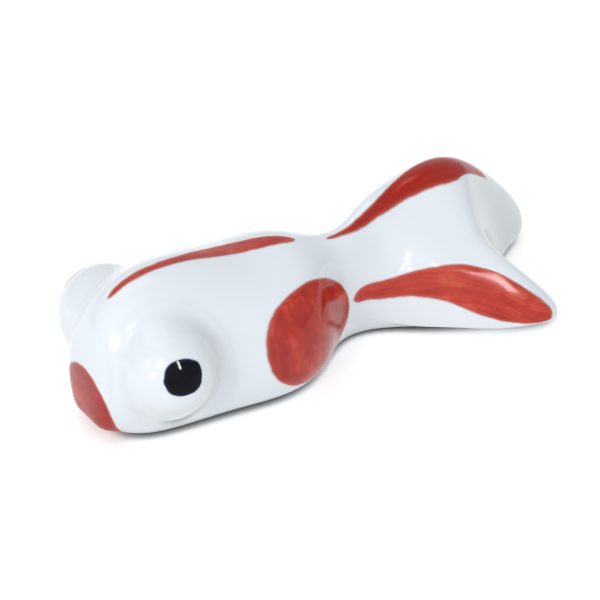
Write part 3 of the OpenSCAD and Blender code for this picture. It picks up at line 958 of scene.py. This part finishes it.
def stripe(skin, enamel, name, plan, width):
    """A painted strip that runs along the skin, from the station and column tables of its plan."""
    first, last = (skin.spans * share for share in plan["ends"])
    t = np.linspace(-OVERRUN_SHARE, 1 + OVERRUN_SHARE, STRIPE_ROWS + 1)[:, None]
    s = np.linspace(-1, 1, STRIPE_LANES + 1)[None, :]
    u = first + (last - first) * t
    lane = COLUMNS * smooth_table(plan["lane"], t)
    rounding = 1 - np.clip(np.minimum(t, 1 - t) / ROUNDED_SHARE, 0, 1)
    half = width / 2 * smooth_table(plan["fullness"], t) * np.sqrt(1 - rounding ** 2) + enamel.feather
    v = lane + s * half / skin.size(u, lane, 0, 1)
    middle_line = skin.at(u, lane)[:, 0]
    pieces = np.linalg.norm(np.diff(middle_line, axis=0), axis=-1)
    lengths = np.concatenate([[0], np.cumsum(pieces)])[:, None]
    from_ends = np.minimum(lengths, lengths[-1] - lengths)
    inset = np.minimum((1 - np.abs(s)) * half, from_ends) / MM
    pattern = np.stack(np.broadcast_arrays(lengths / lengths[-1], s * half / (width / 2)), axis=-1)
    return rolled(name, skin.over(u, v, sunk(inset, enamel.rise)), pattern, inset)


class GOLDFISH_OT_dorsal_stripe(bpy.types.Operator):
    """Paints the stripe along the back"""

    bl_idname = "goldfish.dorsal_stripe"
    bl_label = "Dorsal stripe"

    def execute(self, context):
        skin = Skin(context.scene.goldfish_sizes)
        enamel = context.scene.goldfish_enamels
        mark = stripe(skin, enamel, "painted_dorsal_stripe", DORSAL_STRIPE, enamel.dorsal_width)
        dress_red(mark, enamel, "dorsal", "dorsal_stripe")
        return {"FINISHED"}


class GOLDFISH_OT_tail_stripes(bpy.types.Operator):
    """Paints the stripe on each lobe of the tail"""

    bl_idname = "goldfish.tail_stripes"
    bl_label = "Tail stripes"

    def execute(self, context):
        skin = Skin(context.scene.goldfish_sizes)
        enamel = context.scene.goldfish_enamels
        for word, plan in (("left", LEFT_STRIPE), ("right", RIGHT_STRIPE)):
            mark = stripe(skin, enamel, f"painted_{word}_tail_stripe", plan, enamel.stripe_width)
            dress_red(mark, enamel, f"{word}_tail", f"{word}_tail_stripe")
        return {"FINISHED"}


def direction(around, above):
    """The direction to a place round the fish and above it, both in degrees."""
    around = math.radians(around)
    above = math.radians(above)
    flat = math.cos(above)
    return Vector((flat * math.cos(around), flat * math.sin(around), math.sin(above)))


class GOLDFISH_OT_stage(bpy.types.Operator):
    """Lays the floor and sets up the lights and the camera"""

    bl_idname = "goldfish.stage"
    bl_label = "Stage"

    # Softboxes: name, direction round the fish and above it in degrees, distance, width, height, watts,
    # whether the glaze mirrors them
    SOFTBOXES = (
        ("left_softbox", -156, 33, 0.55, 0.10, 0.22, 0.4, False),
        ("top_softbox", 100, 66, 0.75, 0.60, 0.60, 1.2, True),
    )
    # Softboxes that show only as glints, and only on the pieces whose names end so
    GLINTS = (
        ("head_glint", -158, 15, 0.55, 0.13, 0.13, 0.6, ("glazed_body", "_left_eye")),
        ("eye_glint", -150, 44, 0.55, 0.10, 0.16, 0.6, ("_eye",)),
        ("front_eye_glint", 178, 36, 0.55, 0.06, 0.12, 0.15, ("_eye",)),
        ("pupil_glint", -90, 39, 0.55, 0.045, 0.18, 3.0, ("_pupil",)),
        ("stripe_glint", -80, 36, 0.55, 0.10, 0.24, 1.4, ("_tail_stripe",)),
    )
    # Spots with a narrow beam that light the tail alone: direction round the fish and above it in degrees.
    # They stand in a wedge, wide below and narrow above.
    WEDGE = ((-109, 26), (-116, 28), (-110, 31), (-113, 35), (-109, 38), (-107, 42), (-105, 46))
    SPOT = {"distance": 0.2, "radius": 0.012, "watts": 0.045, "blend": 0.6}
    # Brighter sides of the room: direction round the fish and above it in degrees, sharpness, strength
    WALLS = {
        "ceiling": (0, 90, 1.0, 0.12),
        "back": (56, 15, 2.0, 0.85),
        "left": (-170, 15, 2.0, 1.10),
        "right": (-60, 15, 2.0, 0.80),
        "front": (-124, 15, 2.0, 0.60),
    }
    # Half of the floor's side, in metres
    FLOOR_REACH = 1.5
    # How open the floor's surroundings are where the contact shade is full, and where it ends
    CONTACT_CLEAR = (0.12, 0.62)

    def execute(self, context):
        settings = context.scene.goldfish_stage
        self.lay_floor(settings)
        for *softbox, mirrored in self.SOFTBOXES:
            self.hang(*softbox).visible_glossy = mirrored
        for *softbox, endings in self.GLINTS:
            self.only_on(self.hang(*softbox), endings)
        for around, above in self.WEDGE:
            self.only_on(self.hang_spot(around, above, settings), ("glazed_body",))
        self.surround(settings)
        self.set_camera(settings)
        context.scene.view_settings.view_transform = "Standard"
        return {"FINISHED"}

    @classmethod
    def lay_floor(cls, settings):
        """Lays a plain floor with painted contact shade: its colour darkens right beside the fish, where
        ambient occlusion finds it closed in.
        """
        flat = bmesh.new()
        bmesh.ops.create_grid(flat, x_segments=1, y_segments=1, size=cls.FLOOR_REACH)
        floor = finished("floor", flat)
        paint = Paint(bpy.data.materials.new("pale_floor"))
        plain = paint.add("ShaderNodeBsdfDiffuse", {}, {"Color": paint.full(settings.floor_colour)}, 0)
        shaded = paint.add("ShaderNodeBsdfDiffuse", {}, {"Color": paint.full(settings.painted_contact_shade)}, 0)
        glow = paint.add("ShaderNodeEmission", {}, {"Strength": settings.floor_glow}, 0)
        # Painted contact shade: ambient occlusion mixes the floor toward the dark contact colour beside the
        # fish
        clear = paint.add(
            "ShaderNodeAmbientOcclusion", {"samples": 8}, {"Distance": settings.contact_reach}, "AO")
        bright = paint.add("ShaderNodeAddShader", {}, {0: plain, 1: glow}, 0)
        open_share = paint.ramp(clear, *cls.CONTACT_CLEAR)
        lit = paint.add("ShaderNodeMixShader", {}, {0: open_share, 1: shaded, 2: bright}, 0)
        camera_ray, glossy_ray, glass_ray = (
            paint.add("ShaderNodeLightPath", {}, {}, f"Is {kind} Ray")
            for kind in ("Camera", "Glossy", "Transmission"))
        seen = camera_ray + glossy_ray + glass_ray
        material = paint.show(paint.add("ShaderNodeMixShader", {}, {0: seen, 1: plain, 2: lit}, 0))
        floor.data.materials.append(material)

    @classmethod
    def hang(cls, name, around, above, distance, width, height, watts):
        """Hangs a softbox."""
        light = bpy.data.lights.new(name, "AREA")
        light.shape = "RECTANGLE"
        light.size = width
        light.size_y = height
        light.energy = watts
        return cls.aim(light, around, above, distance, Vector((0.0, 0.0, 0.0)))

    @classmethod
    def hang_spot(cls, around, above, settings):
        """Hangs a narrow spot that points at the tail."""
        light = bpy.data.lights.new(f"tail_spot_{above}", "SPOT")
        light.shadow_soft_size = cls.SPOT["radius"]
        light.spot_size = settings.spot_beam
        light.spot_blend = cls.SPOT["blend"]
        light.energy = cls.SPOT["watts"]
        return cls.aim(light, around, above, cls.SPOT["distance"], Vector(settings.spot_aim))

    @staticmethod
    def aim(light, around, above, distance, at):
        """Hangs a light in a direction from a place, and turns it to that place."""
        toward = direction(around, above)
        lamp = bpy.data.objects.new(light.name, light)
        lamp.location = at + toward * distance
        lamp.rotation_euler = (-toward).to_track_quat("-Z", "Y").to_euler()
        bpy.context.scene.collection.objects.link(lamp)
        return lamp

    @staticmethod
    def only_on(lamp, endings):
        """Lets a lamp show only as a glint on the pieces whose names end so."""
        lamp.visible_diffuse = False
        pieces = bpy.data.collections.new(f"{lamp.name}_pieces")
        for piece in bpy.context.scene.objects:
            if piece.name.startswith(("glazed_", "painted_")) and piece.name.endswith(endings):
                pieces.objects.link(piece)
        lamp.light_linking.receiver_collection = pieces

    @classmethod
    def surround(cls, settings):
        """Makes the room's light, from which the glaze takes its wide soft reflections."""
        paint = Paint(bpy.data.worlds.new("white_room"))
        look = paint.add("ShaderNodeTexCoord", {}, {}, "Generated")
        light = 0.0
        for around, above, sharpness, strength in cls.WALLS.values():
            facing = paint.add(
                "ShaderNodeVectorMath", {"operation": "DOT_PRODUCT"},
                {0: look, 1: direction(around, above)}, "Value")
            light = light + facing.math("MAXIMUM", facing, 0.0) ** sharpness * strength
        background = paint.add(
            "ShaderNodeBackground", {}, {"Color": paint.full(settings.room_colour), "Strength": light}, 0)
        bpy.context.scene.world = paint.show(background, "ShaderNodeOutputWorld")

    @staticmethod
    def set_camera(settings):
        """Sets up the camera of the photograph."""
        data = bpy.data.cameras.new("camera")
        data.lens = settings.lens
        data.sensor_width = 36.0
        data.clip_start = 0.01
        camera = bpy.data.objects.new("camera", data)
        camera.location = settings.camera_place
        aim = Vector(settings.camera_aim) - Vector(settings.camera_place)
        camera.rotation_euler = aim.to_track_quat("-Z", "Y").to_euler()
        bpy.context.scene.collection.objects.link(camera)
        bpy.context.scene.camera = camera


STEPS = (
    GOLDFISH_OT_body,
    GOLDFISH_OT_eyes,
    GOLDFISH_OT_pupils,
    GOLDFISH_OT_mouth,
    GOLDFISH_OT_dorsal_stripe,
    GOLDFISH_OT_flank_spots,
    GOLDFISH_OT_tail_stripes,
    GOLDFISH_OT_stage,
)
SETTINGS = {
    "goldfish_sizes": FishSizes,
    "goldfish_enamels": EnamelSizes,
    "goldfish_finishes": Finishes,
    "goldfish_stage": StageSettings,
}


class GOLDFISH_PT_panel(bpy.types.Panel):
    """Lists the goldfish rest's pieces and their settings"""

    bl_idname = "GOLDFISH_PT_panel"
    bl_label = "Goldfish rest"
    bl_space_type = "VIEW_3D"
    bl_region_type = "UI"
    bl_category = "Goldfish"

    def draw(self, context):
        for step in STEPS:
            self.layout.operator(step.bl_idname)
        for name, group in SETTINGS.items():
            box = self.layout.box()
            box.label(text=group.__doc__)
            for key in group.__annotations__:
                box.prop(getattr(context.scene, name), key)


def register():
    """Registers the settings, the operators and the panel."""
    for name, group in SETTINGS.items():
        bpy.utils.register_class(group)
        setattr(bpy.types.Scene, name, bpy.props.PointerProperty(type=group))
    for step in STEPS:
        bpy.utils.register_class(step)
    bpy.utils.register_class(GOLDFISH_PT_panel)


def unregister():
    """Takes back what register did."""
    bpy.utils.unregister_class(GOLDFISH_PT_panel)
    for step in reversed(STEPS):
        bpy.utils.unregister_class(step)
    for name, group in SETTINGS.items():
        delattr(bpy.types.Scene, name)
        bpy.utils.unregister_class(group)


def main():
    """Builds every piece and the stage."""
    register()
    bpy.ops.goldfish.body()
    bpy.ops.goldfish.eyes()
    bpy.ops.goldfish.pupils()
    bpy.ops.goldfish.mouth()
    bpy.ops.goldfish.dorsal_stripe()
    bpy.ops.goldfish.flank_spots()
    bpy.ops.goldfish.tail_stripes()
    bpy.ops.goldfish.stage()


if __name__ == "__main__":
    main()
